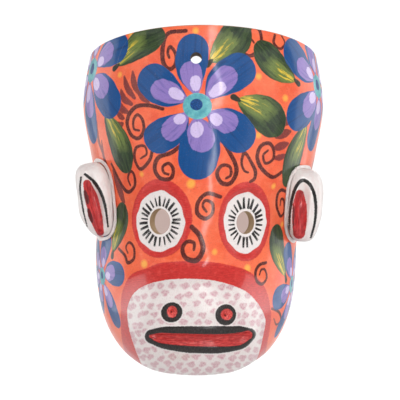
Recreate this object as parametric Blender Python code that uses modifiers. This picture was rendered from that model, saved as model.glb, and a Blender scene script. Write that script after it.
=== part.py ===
"""A carved wooden monkey mask, as Blender objects in metres.

One thick wooden face shell, hollow behind, with drilled eyes and a hanging hole. Two separately carved ears
stand on its sides, each held by two wooden pegs in drilled holes and bedded in a ring of white filler.

Everything is laid out on a bench: +Z up, the sawn back plane at Y = 0 with the face towards -Y, and Z = 0 at the
lowest point of the chin. The parent empty then moves the bench so that the world origin is the middle of the
hanging hole. "Left" and "right" are as seen by someone who faces the mask.
"""

import math

import bmesh
import bpy
from mathutils import Matrix, Vector

MM = 0.001

# Face shell: the whole outline follows from these.
TOP_HEIGHT = 250 * MM
TOP_SLOPE_DROP = 21 * MM  # how much lower the sawn top edge is at the back than at the front
JAW_HEIGHT = 100 * MM  # above this the face is a half column, below it a bowl
JAW_BOTTOM = 3.0 * MM  # height of the rim under the chin
JAW_SQUARENESS = 2.85  # exponent of the jaw's superellipse, 2 for an ellipse
CHIN_FULLNESS = 3.0  # exponent of the jaw's profile: the larger, the longer the face stays deep above the chin
WALL = 10.5 * MM
MUZZLE_HOLLOW = 0.8  # share of the muzzle's push that the hollow behind it follows
HALF_WIDTHS = ((100, 72.0), (130, 74.8), (160, 80.8), (195, 86.2), (229, 81.5), (250, 78.0))  # (height, half width) in mm
DEPTHS = ((100, 76.0), (140, 76.0), (175, 74.0), (205, 70.0), (230, 65.0), (250, 59.0))  # (height, depth) in mm
LEAN_LOW, LEAN_HIGH = -3.0 * MM, 2.3 * MM  # the carved form leans: its middle below and above the eyes
LEAN_FROM, LEAN_TO = 85 * MM, 150 * MM

# Muzzle: a soft swelling pushed forwards and a little down from the jaw.
MUZZLE_HEIGHT = 33 * MM
MUZZLE_HALF_SIZE = (61 * MM, 53 * MM)
MUZZLE_PUSH = Vector((0, -21 * MM, -3 * MM))
MUZZLE_SHOULDER = 0.42  # share of the muzzle's radius over which it rises
MUZZLE_ROOT = 38 * MM  # depth of the jaw over which the muzzle grows out of it
MUZZLE_SQUARENESS = 2.4

# Mesh of the carved surface.
COLUMNS = 36
ROWS = 38
PAST_THE_EDGE = 6 * MM  # how far the hollowing tool runs past the back plane and the sawn top

# Features cut in the shell. Turn is the angle of a feature's axis from straight ahead, outwards.
EYES = {
    "left": {"at": (-29.2 * MM, 111.2 * MM), "turn": -24, "dish": (18.6 * MM, 21.3 * MM), "hole": (7.9 * MM, 9.2 * MM)},
    "right": {"at": (33.0 * MM, 110.4 * MM), "turn": 26, "dish": (17.0 * MM, 21.3 * MM), "hole": (7.1 * MM, 8.1 * MM)},
}
DISH_DEPTH = 2.8 * MM
HANGING_HOLE_AT = (-2.7 * MM, 226.3 * MM)
HANGING_HOLE_RADIUS = 4.1 * MM
HANGING_HOLE_TILT = 13  # degrees, its front end raised
NOSTRILS = ((-19.4 * MM, 48.5 * MM), (17.6 * MM, 46.8 * MM))
NOSTRIL_RADIUS = 3.6 * MM
NOSTRIL_DEPTH = 3 * MM
MOUTH_AT = (-1.2 * MM, 29.6 * MM)
MOUTH_HALF_LENGTH = 35.5 * MM
MOUTH_HALF_HEIGHT = 4.2 * MM
MOUTH_DEPTH = 3 * MM

# Ears, pegs and filler.
EARS = {
    "left": {"centre": (-74.5 * MM, -33 * MM, 126.4 * MM), "half_size": (13 * MM, 18.5 * MM, 27 * MM), "tilt": -9},
    "right": {"centre": (74.5 * MM, -33 * MM, 122.6 * MM), "half_size": (13 * MM, 18.5 * MM, 26 * MM), "tilt": 1},
}
EAR_ROUNDNESS = 0.62  # exponent of the superellipsoid: 1 is an ellipsoid and smaller is boxier
CONCHA_HALF_SIZE = (3.9 * MM, 6 * MM, 21 * MM)
CONCHA_INWARDS = 1.5 * MM
PEG_RADIUS = 3 * MM
PEG_LENGTH = 19 * MM
PEG_IN_WALL = 8 * MM
PEG_SPACING = 24 * MM  # between the two pegs of one ear
FIT_GAP = 0.3 * MM
FILLER_WIDTH = 2.6 * MM
FILLER_THICKNESS = 1.6 * MM

COLOURS = {
    "painted_orange": ((0.88, 0.12, 0.055, 1), 0.32),
    "painted_white": ((0.76, 0.71, 0.68, 1), 0.35),
    "bare_wood": ((0.45, 0.29, 0.15, 1), 0.75),
}


# ---------------------------------------------------------------- small helpers


def clear_scene():
    for obj in list(bpy.data.objects):
        bpy.data.objects.remove(obj)


def collection(name):
    made = bpy.data.collections.new(name)
    bpy.context.scene.collection.children.link(made)
    return made


def material(name):
    made = bpy.data.materials.get(name)
    if made is None:
        colour, roughness = COLOURS[name]
        made = bpy.data.materials.new(name)
        made.use_nodes = True
        shader = made.node_tree.nodes["Principled BSDF"]
        shader.inputs["Base Color"].default_value = colour
        shader.inputs["Roughness"].default_value = roughness
        shader.inputs["Metallic"].default_value = 0.0
    return made


def take(obj, name, group, paint=None):
    """Names a new object, moves it to its collection and gives it its material."""
    obj.name = name
    obj.data.name = name
    for old in list(obj.users_collection):
        old.objects.unlink(obj)
    group.objects.link(obj)
    if paint:
        obj.data.materials.append(material(paint))
    return obj


def as_cutter(obj):
    obj.hide_render = True
    obj.display_type = "WIRE"
    return obj


def smooth_steps(value):
    value = min(1.0, max(0.0, value))
    return value * value * (3 - 2 * value)


def through(points, height):
    """A smooth curve through (height, size) points in mm, level at both ends, with no overshoot."""
    at = height / MM
    if at <= points[0][0]:
        return points[0][1] * MM
    if at >= points[-1][0]:
        return points[-1][1] * MM
    slopes = [(b[1] - a[1]) / (b[0] - a[0]) for a, b in zip(points, points[1:])]
    tangents = [0.0]
    for before, after in zip(slopes, slopes[1:]):
        same_way = before * after > 0
        tangents.append(2 * before * after / (before + after) if same_way else 0.0)
    tangents.append(0.0)
    k = max(i for i in range(len(points) - 1) if points[i][0] <= at)
    (x0, y0), (x1, y1) = points[k], points[k + 1]
    span = x1 - x0
    t = (at - x0) / span
    size = (
        y0 * (1 + 2 * t) * (1 - t) ** 2
        + y1 * t * t * (3 - 2 * t)
        + tangents[k] * span * t * (1 - t) ** 2
        - tangents[k + 1] * span * t * t * (1 - t)
    )
    return size * MM


# ---------------------------------------------------------------- the carved form


def lean(height):
    share = smooth_steps((height - LEAN_FROM) / (LEAN_TO - LEAN_FROM))
    return LEAN_LOW + (LEAN_HIGH - LEAN_LOW) * share


def muzzle_rise(x, y, z, inset):
    """0 outside the muzzle, 1 on its front, for a point of the jaw."""
    across = abs(x - LEAN_LOW) / (MUZZLE_HALF_SIZE[0] - inset)
    up = abs(z - MUZZLE_HEIGHT) / (MUZZLE_HALF_SIZE[1] - inset)
    radius = (across**MUZZLE_SQUARENESS + up**MUZZLE_SQUARENESS) ** (1 / MUZZLE_SQUARENESS)
    return smooth_steps((1 - radius) / MUZZLE_SHOULDER) * smooth_steps(-y / MUZZLE_ROOT)


def form_point(a, b, inset=0.0):
    """A point of the face's surface, or of the same surface inset from it.

    a runs from -1 at the left rim to 1 at the right, b from -1 under the chin to 1 at the sawn top.
    """
    side, front = math.sin(a * math.pi / 2), math.cos(a * math.pi / 2)
    if b >= 0:
        top = TOP_HEIGHT - TOP_SLOPE_DROP * (1 - front)
        z = JAW_HEIGHT + (top - JAW_HEIGHT) * b
        x = side * (through(HALF_WIDTHS, z) - inset)
        y = -front * (through(DEPTHS, z) - inset)
    else:
        down = math.sin(b * math.pi / 2)
        across = side * math.sqrt(1 - down * down / 2)
        below = down * math.sqrt(1 - side * side / 2)
        radius = max(math.hypot(across, below), 1e-9)
        corner = (abs(across / radius) ** JAW_SQUARENESS + abs(below / radius) ** JAW_SQUARENESS) ** (
            -1 / JAW_SQUARENESS
        )
        x = across * corner * (through(HALF_WIDTHS, JAW_HEIGHT) - inset)
        z = JAW_HEIGHT + below * corner * (JAW_HEIGHT - JAW_BOTTOM - inset)
        fullness = 2 + (CHIN_FULLNESS - 2) * (below / radius) ** 2
        y = -(max(0.0, 1 - radius**fullness) ** (1 / fullness)) * (through(DEPTHS, JAW_HEIGHT) - inset)
    point = Vector((x + lean(z), y, z))
    share = MUZZLE_HOLLOW if inset > 0 else 1.0
    return point + MUZZLE_PUSH * share * muzzle_rise(*point, inset)


def surface_at(x, z):
    """(point, outward normal) of the outer surface nearest to straight in front of (x, z), found by refining a guess."""
    target = Vector((x, z))
    best, a, b, step = None, 0.0, 0.0, 0.5
    while step > 1e-5:
        for da in (-step, 0, step):
            for db in (-step, 0, step):
                ta, tb = max(-1, min(1, a + da)), max(-1, min(1, b + db))
                point = form_point(ta, tb)
                miss = (Vector((point.x, point.z)) - target).length
                if best is None or miss < best[0]:
                    best = (miss, ta, tb, point)
        if (best[1], best[2]) == (a, b):
            step /= 2
        a, b = best[1], best[2]
    nudge = 1e-3
    along_a = form_point(a + nudge, b) - form_point(a - nudge, b)
    along_b = form_point(a, b + nudge) - form_point(a, b - nudge)
    return best[3], along_a.cross(along_b).normalized()


def carved_solid(name, group, inset=0.0):
    """The whole block inside the carved surface, closed flat across the back and the top.

    With an inset it is the shape of the hollow, and runs past the back plane and the top.
    """
    bpy.ops.mesh.primitive_grid_add(x_subdivisions=COLUMNS, y_subdivisions=ROWS, size=2)
    obj = take(bpy.context.object, name, group)
    shape = bmesh.new()
    shape.from_mesh(obj.data)
    rows = [[None] * (COLUMNS + 1) for _ in range(ROWS + 1)]
    for vertex in shape.verts:
        column = round((vertex.co.x + 1) / 2 * COLUMNS)
        row = round((vertex.co.y + 1) / 2 * ROWS)
        rows[row][column] = vertex
        a, b = vertex.co.x, vertex.co.y
        vertex.co = form_point(a, b, inset)
        if inset > 0:
            if column in (0, COLUMNS) or row == 0:
                vertex.co.y = PAST_THE_EDGE
            if row == ROWS:
                vertex.co.z += PAST_THE_EDGE
    for lower, upper in zip(rows, rows[1:]):
        shape.faces.new((lower[0], upper[0], upper[-1], lower[-1]))
    for edge, flip in ((rows[0], False), (rows[-1], True)):
        for k in range(COLUMNS // 2):
            corners = [edge[k], edge[COLUMNS - k], edge[COLUMNS - k - 1], edge[k + 1]]
            corners = list(dict.fromkeys(corners))
            shape.faces.new(corners[::-1] if flip else corners)
    bmesh.ops.recalc_face_normals(shape, faces=shape.faces)
    shape.to_mesh(obj.data)
    shape.free()
    return obj


def thicken(obj, outwards, inwards):
    """A Solidify that covers the surface from outwards above it to inwards below it."""
    modifier = obj.modifiers.new("wall", "SOLIDIFY")
    modifier.thickness = outwards + inwards
    modifier.offset = (outwards - inwards) / (outwards + inwards)
    modifier.use_even_offset = True
    modifier.use_quality_normals = True


def combine(obj, other, operation="DIFFERENCE"):
    modifier = obj.modifiers.new(other.name, "BOOLEAN")
    modifier.operation = operation
    modifier.object = other


# ---------------------------------------------------------------- cutters


def drill(name, centre, direction, radii, length, group, sides=24, tip_share=1.0):
    """A closed round cutter, tapered to tip_share of its size at the end that direction points away from."""
    mesh = bpy.data.meshes.new(name)
    shape = bmesh.new()
    bmesh.ops.create_cone(shape, cap_ends=True, segments=sides, radius1=tip_share, radius2=1, depth=1)
    bmesh.ops.scale(shape, vec=(radii[0], radii[1], length), verts=shape.verts)
    shape.to_mesh(mesh)
    shape.free()
    obj = take(bpy.data.objects.new(name, mesh), name, group)
    obj.matrix_world = Matrix.Translation(centre) @ direction.to_track_quat("Z", "Y").to_matrix().to_4x4()
    return as_cutter(obj)


def straight_ahead(turn=0.0, rise=0.0):
    """A direction out of the face, turned sideways and raised by these angles in degrees."""
    turn, rise = math.radians(turn), math.radians(rise)
    return Vector((math.sin(turn) * math.cos(rise), -math.cos(turn) * math.cos(rise), math.sin(rise)))


def eye_cutters(side, group):
    eye = EYES[side]
    out = straight_ahead(eye["turn"])
    point, _ = surface_at(*eye["at"])
    dish_length = 14 * MM
    dish_middle = point + out * (dish_length / 2 - DISH_DEPTH)
    return [
        drill(f"{side}_eye_dish_cutter", dish_middle, out, eye["dish"], dish_length, group, sides=32),
        drill(f"{side}_eye_hole_cutter", point, out, eye["hole"], 3 * WALL, group, sides=28),
    ]


def nostril_cutter(number, group):
    point, normal = surface_at(*NOSTRILS[number])
    length = 2 * NOSTRIL_DEPTH
    radii = (NOSTRIL_RADIUS * 1.25, NOSTRIL_RADIUS * 1.45)
    return drill(f"nostril_cutter_{number}", point, normal, radii, length, group, sides=16, tip_share=0.3)


def mouth_cutter(group):
    """A long rounded bar that follows the muzzle's curve, sunk to the depth of the mouth."""
    stations = 9
    curve = bpy.data.curves.new("mouth_path", "CURVE")
    curve.dimensions = "3D"
    curve.bevel_depth = MOUTH_HALF_HEIGHT
    curve.bevel_resolution = 2
    curve.use_fill_caps = True
    path = curve.splines.new("POLY")
    path.points.add(stations - 1)
    for number, knot in enumerate(path.points):
        share = -1 + 2 * number / (stations - 1)
        point, normal = surface_at(MOUTH_AT[0] + share * MOUTH_HALF_LENGTH, MOUTH_AT[1])
        centre = point + normal * (MOUTH_HALF_HEIGHT - MOUTH_DEPTH)
        knot.co = (*centre, 1)
        knot.radius = 1 - 0.35 * share**4
    guide = bpy.data.objects.new("mouth_path", curve)
    group.objects.link(guide)
    bpy.context.view_layer.update()
    mesh = bpy.data.meshes.new_from_object(guide.evaluated_get(bpy.context.evaluated_depsgraph_get()))
    shape = bmesh.new()
    shape.from_mesh(mesh)
    bmesh.ops.remove_doubles(shape, verts=shape.verts, dist=1e-6)
    bmesh.ops.recalc_face_normals(shape, faces=shape.faces)
    shape.to_mesh(mesh)
    shape.free()
    bpy.data.objects.remove(guide)
    return as_cutter(take(bpy.data.objects.new("mouth_cutter", mesh), "mouth_cutter", group))


# ---------------------------------------------------------------- the pieces


def rounded_block(name, half_size, roundness, segments, rings, group, paint=None):
    """A superellipsoid: a sphere whose rings and sides are squared off."""
    mesh = bpy.data.meshes.new(name)
    shape = bmesh.new()
    bmesh.ops.create_uvsphere(shape, u_segments=segments, v_segments=rings, radius=1)
    for vertex in shape.verts:
        squared = [math.copysign(abs(value) ** roundness, value) for value in vertex.co]
        vertex.co = [value * size for value, size in zip(squared, half_size)]
    shape.to_mesh(mesh)
    shape.free()
    return take(bpy.data.objects.new(name, mesh), name, group, paint)


def ear_solid(name, side, group, paint=None):
    ear = EARS[side]
    obj = rounded_block(name, ear["half_size"], EAR_ROUNDNESS, 20, 14, group, paint)
    obj.location = ear["centre"]
    obj.rotation_euler = (0, math.radians(ear["tilt"]), 0)
    return obj


def concha_cutter(side, group):
    """The long hollow in the front of the ear, open at the ear's lower end."""
    ear = EARS[side]
    outward = math.copysign(1, ear["centre"][0])
    obj = rounded_block(f"{side}_concha_cutter", CONCHA_HALF_SIZE, 0.8, 16, 12, group)
    local = Vector((-outward * CONCHA_INWARDS, -ear["half_size"][1], -3 * MM))
    turned = Matrix.Rotation(math.radians(ear["tilt"]), 3, "Y") @ local
    obj.location = Vector(ear["centre"]) + turned
    obj.rotation_euler = (0, math.radians(ear["tilt"] * 1.4), 0)
    return as_cutter(obj)


def peg_places(side):
    """(start in the wall, direction) of the two pegs of an ear, each square to the side of the face."""
    ear = EARS[side]
    outward = math.copysign(1, ear["centre"][0])
    for offset in (-PEG_SPACING / 2, PEG_SPACING / 2):
        height = ear["centre"][2] + offset
        half_width, depth = through(HALF_WIDTHS, height), through(DEPTHS, height)
        front = -ear["centre"][1] / depth
        angle = outward * math.acos(front)
        skin = Vector((half_width * math.sin(angle) + lean(height), -depth * math.cos(angle), height))
        out = Vector((math.sin(angle) / half_width, -math.cos(angle) / depth, 0)).normalized()
        yield skin - out * PEG_IN_WALL, out


def wooden_peg(name, start, out, group):
    bpy.ops.mesh.primitive_cylinder_add(vertices=16, radius=PEG_RADIUS, depth=PEG_LENGTH)
    obj = take(bpy.context.object, name, group, "bare_wood")
    obj.location = start + out * (PEG_LENGTH / 2)
    obj.rotation_mode = "QUATERNION"
    obj.rotation_quaternion = out.to_track_quat("Z", "Y")
    bevel = obj.modifiers.new("chamfer", "BEVEL")
    bevel.width = 0.6 * MM
    bevel.segments = 1
    obj.data.shade_smooth()
    return obj


def build():
    clear_scene()
    parts, cutters = collection("monkey_mask"), collection("cutters")

    peg_cutters = {}
    for side in EARS:
        peg_cutters[side] = []
        for place, (start, out) in zip(("lower", "upper"), peg_places(side)):
            wooden_peg(f"{side}_ear_{place}_peg", start, out, parts)
            hole_length = PEG_LENGTH + 2 * FIT_GAP
            hole_radius = PEG_RADIUS + FIT_GAP
            middle = start + out * (PEG_LENGTH / 2)
            hole = drill(
                f"{side}_{place}_peg_hole", middle, out, (hole_radius, hole_radius), hole_length, cutters, sides=16
            )
            peg_cutters[side].append(hole)

    shell = carved_solid("face_shell", parts)
    shell.data.materials.append(material("painted_orange"))
    combine(shell, as_cutter(carved_solid("hollow_cutter", cutters, WALL)))
    hanging_point, _ = surface_at(*HANGING_HOLE_AT)
    hanging_hole = drill(
        "hanging_hole_cutter",
        hanging_point,
        straight_ahead(rise=HANGING_HOLE_TILT),
        (HANGING_HOLE_RADIUS, HANGING_HOLE_RADIUS),
        4 * WALL,
        cutters,
    )
    cuts = [*eye_cutters("left", cutters), *eye_cutters("right", cutters), hanging_hole]
    cuts += [nostril_cutter(number, cutters) for number in range(len(NOSTRILS))]
    cuts += [mouth_cutter(cutters), *peg_cutters["left"], *peg_cutters["right"]]
    for cutter in cuts:
        combine(shell, cutter)
    shell.data.shade_smooth()

    fitted_face = as_cutter(carved_solid("fitted_face_cutter", cutters, -FIT_GAP))
    filler_skin = as_cutter(carved_solid("filler_skin_cutter", cutters, -FILLER_THICKNESS))
    for side in EARS:
        ear = ear_solid(f"{side}_ear", side, parts, "painted_white")
        combine(ear, concha_cutter(side, cutters))
        combine(ear, fitted_face)
        for cutter in peg_cutters[side]:
            combine(ear, cutter)
        ear.data.shade_smooth()

        filler = ear_solid(f"{side}_ear_filler", side, parts, "painted_white")
        thicken(filler, FILLER_WIDTH, -FIT_GAP)
        combine(filler, filler_skin, "INTERSECT")
        combine(filler, fitted_face)
        filler.data.shade_smooth()

    bench = bpy.data.objects.new("hanging_point", None)
    parts.objects.link(bench)
    bench.location = -hanging_point
    for obj in [*parts.objects, *cutters.objects]:
        if obj is not bench:
            obj.parent = bench


build()
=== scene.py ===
"""Looks of a carved and painted wooden monkey mask, built around its CAD frame.

Lengths in this script are millimetres on the bench: +x to the right of someone who faces the mask, -y the way
it looks, z = 0 near the lowest point of the chin. ORIGIN is the bench point that is the world's origin, the
middle of the hanging hole's mouth.
"""

import math

import bmesh
import bpy
import numpy as np
from mathutils import Matrix, Vector


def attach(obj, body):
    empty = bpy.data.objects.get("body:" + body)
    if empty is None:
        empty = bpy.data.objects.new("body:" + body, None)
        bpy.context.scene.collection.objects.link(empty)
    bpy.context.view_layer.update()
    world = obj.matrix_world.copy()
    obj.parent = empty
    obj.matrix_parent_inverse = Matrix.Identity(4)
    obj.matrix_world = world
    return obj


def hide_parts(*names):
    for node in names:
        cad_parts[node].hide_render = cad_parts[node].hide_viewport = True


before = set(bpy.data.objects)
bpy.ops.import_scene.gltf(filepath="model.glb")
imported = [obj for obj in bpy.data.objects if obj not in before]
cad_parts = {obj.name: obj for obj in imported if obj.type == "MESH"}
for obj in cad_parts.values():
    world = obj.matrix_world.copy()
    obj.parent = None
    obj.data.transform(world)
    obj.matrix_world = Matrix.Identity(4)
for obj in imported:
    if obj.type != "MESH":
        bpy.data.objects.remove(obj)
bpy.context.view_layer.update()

ORIGIN = np.array((-2.7, -65.74, 226.3))
MM = 0.001

# ---------------------------------------------------------------- the carved form, as in the CAD

TOP_HEIGHT, TOP_SLOPE_DROP = 250.0, 21.0
JAW_HEIGHT, JAW_BOTTOM, JAW_SQUARENESS, CHIN_FULLNESS = 100.0, 3.0, 2.85, 3.0
WALL = 10.5
HALF_WIDTHS = ((100, 72.0), (130, 74.8), (160, 80.8), (195, 86.2), (229, 81.5), (250, 78.0))
DEPTHS = ((100, 76.0), (140, 76.0), (175, 74.0), (205, 70.0), (230, 65.0), (250, 59.0))
LEAN_LOW, LEAN_HIGH, LEAN_FROM, LEAN_TO = -3.0, 2.3, 85.0, 150.0
MUZZLE_HEIGHT, MUZZLE_HALF_SIZE, MUZZLE_PUSH = 33.0, (61.0, 53.0), (0.0, -21.0, -3.0)
MUZZLE_SHOULDER, MUZZLE_ROOT, MUZZLE_SQUARENESS, MUZZLE_HOLLOW = 0.42, 38.0, 2.4, 0.8

COLUMNS, ROWS = 256, 300  # of the painted surface
COARSER = 4  # the hollow's mesh is this many times coarser
# The sawn edge's steps from the outer surface to the hollow, each (sunk below the sawn face, inwards).
RIM_ROUND = ((1.2, 0.0), (0.35, 0.35), (0.0, 1.2), (0.0, WALL - 1.2), (0.35, WALL - 0.35))
SKIN_RADIUS = 80.0  # turns the angle around the face into a length of painted surface
MIDDLE_HEIGHT = 125.7  # what is at this height is seen from in front at its true height
TRUE_DEPTH, DEPTH_PER_SIZE = 55.0, 1500.0  # a spot this deep is seen where it is, a nearer one further out
MUZZLE_NEARER = 1.018  # how much larger the muzzle looks from in front than it is


def smooth(value):
    value = np.clip(value, 0.0, 1.0)
    return value * value * (3 - 2 * value)


def through(points, at):
    """A smooth curve through (height, size) points, level at both ends, with no overshoot."""
    xs, ys = np.array(points, float).T
    slopes = np.diff(ys) / np.diff(xs)
    tangents = np.zeros(len(xs))
    product = slopes[:-1] * slopes[1:]
    total = slopes[:-1] + slopes[1:]
    same_way = product > 0
    tangents[1:-1][same_way] = 2 * product[same_way] / total[same_way]
    at = np.clip(at, xs[0], xs[-1])
    k = np.clip(np.searchsorted(xs, at, side="right") - 1, 0, len(xs) - 2)
    span = xs[k + 1] - xs[k]
    t = (at - xs[k]) / span
    return (
        ys[k] * (1 + 2 * t) * (1 - t) ** 2
        + ys[k + 1] * t * t * (3 - 2 * t)
        + tangents[k] * span * t * (1 - t) ** 2
        - tangents[k + 1] * span * t * t * (1 - t)
    )


def lean(z):
    return LEAN_LOW + (LEAN_HIGH - LEAN_LOW) * smooth((z - LEAN_FROM) / (LEAN_TO - LEAN_FROM))


def form(a, b, inset=0.0):
    """The carved surface for arrays a (-1 left rim, 1 right) and b (-1 chin, 1 top), inset by so much."""
    a, b = np.broadcast_arrays(np.asarray(a, float), np.asarray(b, float))
    side, front = np.sin(a * np.pi / 2), np.cos(a * np.pi / 2)
    top = TOP_HEIGHT - TOP_SLOPE_DROP * (1 - front)
    z_up = JAW_HEIGHT + (top - JAW_HEIGHT) * np.maximum(b, 0)
    x_up = side * (through(HALF_WIDTHS, z_up) - inset)
    y_up = -front * (through(DEPTHS, z_up) - inset)
    down = np.sin(np.minimum(b, 0) * np.pi / 2)
    across = side * np.sqrt(1 - down * down / 2)
    below = down * np.sqrt(1 - side * side / 2)
    radius = np.maximum(np.hypot(across, below), 1e-9)
    n = JAW_SQUARENESS
    corner = (np.abs(across / radius) ** n + np.abs(below / radius) ** n) ** (-1 / n)
    fullness = 2 + (CHIN_FULLNESS - 2) * (below / radius) ** 2
    bowl = np.maximum(0, 1 - radius**fullness) ** (1 / fullness)
    x_down = across * corner * (HALF_WIDTHS[0][1] - inset)
    z_down = JAW_HEIGHT + below * corner * (JAW_HEIGHT - JAW_BOTTOM - inset)
    y_down = -bowl * (DEPTHS[0][1] - inset)
    upper = b >= 0
    x, y, z = np.where(upper, x_up, x_down), np.where(upper, y_up, y_down), np.where(upper, z_up, z_down)
    x = x + lean(z)
    reach = ((np.abs(x - LEAN_LOW) / (MUZZLE_HALF_SIZE[0] - inset)) ** MUZZLE_SQUARENESS) + (
        (np.abs(z - MUZZLE_HEIGHT) / (MUZZLE_HALF_SIZE[1] - inset)) ** MUZZLE_SQUARENESS
    )
    rise = smooth((1 - reach ** (1 / MUZZLE_SQUARENESS)) / MUZZLE_SHOULDER) * smooth(-y / MUZZLE_ROOT)
    rise = rise * (MUZZLE_HOLLOW if inset > 0 else 1.0)
    return np.stack((x, y, z), -1) + rise[..., None] * np.array(MUZZLE_PUSH)


def rim_half_width(z):
    """Half the width of the rim's outline at height z."""
    n = JAW_SQUARENESS
    down = np.clip((JAW_HEIGHT - z) / (JAW_HEIGHT - JAW_BOTTOM), 0, 0.999)
    jaw = HALF_WIDTHS[0][1] * (1 - down**n) ** (1 / n)
    return np.where(z >= JAW_HEIGHT, through(HALF_WIDTHS, z), jaw)


# ---------------------------------------------------------------- where things are on the skin


def skin(x, z):
    """(along, height) on the painted surface of the spot that is at x, z when seen from in front.

    along is measured around the face from its middle line. What is nearer looks a little larger.
    """
    true_x, true_z = x, z
    for _ in range(3):
        middle, half = float(lean(true_z)), float(rim_half_width(np.array(true_z)))
        share = max(-0.999, min(0.999, (true_x - middle) / half))
        depth = float(through(DEPTHS, true_z)) * math.sqrt(1 - share * share)
        nearer = (depth - TRUE_DEPTH) / DEPTH_PER_SIZE
        true_x, true_z = x * (1 - nearer), MIDDLE_HEIGHT + (z - MIDDLE_HEIGHT) * (1 - nearer)
    return SKIN_RADIUS * math.asin(share), true_z


def skin_coordinates(points):
    """The same coordinates for an array of points of the surface."""
    x, y, z = points.T
    share = np.clip((x - lean(z)) / np.maximum(rim_half_width(z), 1.0), -1, 1)
    upper = np.arctan2(share, np.maximum(-y, 0) / through(DEPTHS, z))
    along = SKIN_RADIUS * np.where(z > JAW_HEIGHT, upper, np.arcsin(share))
    return np.stack((along, z), -1)


def curve(points, count):
    """A smooth curve through control points, as count points."""
    points = np.array(points, float)
    if len(points) == 2:
        return points[0] + np.linspace(0, 1, count)[:, None] * (points[1] - points[0])
    padded = np.vstack((2 * points[0] - points[1], points, 2 * points[-1] - points[-2]))
    place = np.linspace(0, len(points) - 1 - 1e-9, count)
    k = place.astype(int)
    t = (place - k)[:, None]
    p0, p1, p2, p3 = padded[k], padded[k + 1], padded[k + 2], padded[k + 3]
    return 0.5 * (
        2 * p1 + (p2 - p0) * t + (2 * p0 - 5 * p1 + 4 * p2 - p3) * t**2 + (3 * p1 - p0 - 3 * p2 + p3) * t**3
    )


class Layer:
    """One colour of paint: how far each vertex is from its edge, negative inside, and where in the mark."""

    FAR = 7.0  # the most that a distance is
    OUTLINE_STEPS = 320

    def __init__(self, where):
        self.where = where
        self.edge = np.full(len(where), self.FAR)
        self.along = np.zeros(len(where))
        self.across = np.zeros(len(where))
        self.mark = np.zeros(len(where))
        self.marks = 0

    def brush(self, points, widths, count=None):
        """A brush mark along a smooth curve, with widths given at equal steps from its start to its end."""
        points = np.array(points, float)
        length = np.sum(np.linalg.norm(np.diff(points, axis=0), axis=1))
        widths = np.array(widths, float)
        count = count or int(np.clip(length / 0.8, 12, 90))
        path = curve(points, count)
        radii = np.interp(np.linspace(0, 1, count), np.linspace(0, 1, len(widths)), widths) / 2
        reach = radii.max() + self.FAR
        low, high = path.min(0) - reach, path.max(0) + reach
        near = np.nonzero(np.all((self.where > low) & (self.where < high), axis=1))[0]
        if not len(near):
            return
        away = self.where[near][:, None, :] - path[None, :, :]
        distance = np.linalg.norm(away, axis=2) - radii
        best = np.argmin(distance, axis=1)
        edge = distance[np.arange(len(near)), best]
        tangent = np.gradient(path, axis=0)
        tangent /= np.maximum(np.linalg.norm(tangent, axis=1), 1e-9)[:, None]
        offset = away[np.arange(len(near)), best]
        across = tangent[best, 0] * offset[:, 1] - tangent[best, 1] * offset[:, 0]
        self.marks += 1
        nearer = edge < self.edge[near]
        hit = near[nearer]
        self.edge[hit] = edge[nearer]
        self.along[hit] = (best / (count - 1))[nearer]
        self.across[hit] = (across / np.maximum(radii[best], 0.3))[nearer]
        self.mark[hit] = self.marks

    def oval(self, centre, half_size, tilt=0.0):
        """A filled ellipse."""
        turned = (self.where - np.array(centre)) @ np.array(
            ((math.cos(tilt), -math.sin(tilt)), (math.sin(tilt), math.cos(tilt)))
        )
        share = np.linalg.norm(turned / np.array(half_size), axis=1)
        edge = (share - 1) * np.linalg.norm(turned, axis=1) / np.maximum(share, 1e-6)
        edge = np.where(share < 0.05, -min(half_size), edge)
        self.marks += 1
        hit = edge < self.edge
        self.edge[hit] = edge[hit]
        self.mark[hit] = self.marks

    def outline(self, points):
        """The area inside a smooth closed curve."""
        path = curve([points[-1], *points, points[0], points[1]], self.OUTLINE_STEPS)
        step = self.OUTLINE_STEPS / (len(points) + 2)
        path = path[int(step) : int(step * (len(points) + 1)) + 1]
        low, high = path.min(0) - self.FAR, path.max(0) + self.FAR
        near = np.nonzero(np.all((self.where > low) & (self.where < high), axis=1))[0]
        spot = self.where[near]
        start, end = path, np.roll(path, -1, axis=0)
        distance = np.full(len(near), 1e9)
        inside = np.zeros(len(near), bool)
        for p, q in zip(start, end):
            step = q - p
            share = np.clip(((spot - p) @ step) / max(step @ step, 1e-9), 0, 1)
            distance = np.minimum(distance, np.linalg.norm(spot - p - share[:, None] * step, axis=1))
            crosses = (p[1] > spot[:, 1]) != (q[1] > spot[:, 1])
            with np.errstate(divide="ignore", invalid="ignore"):
                cut = p[0] + (spot[:, 1] - p[1]) / (q[1] - p[1]) * (q[0] - p[0])
            inside ^= crosses & (spot[:, 0] < cut)
        edge = np.where(inside, -distance, distance)
        nearer = edge < self.edge[near]
        self.edge[near[nearer]] = edge[nearer]


# ---------------------------------------------------------------- eyes, and the carved relief


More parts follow.
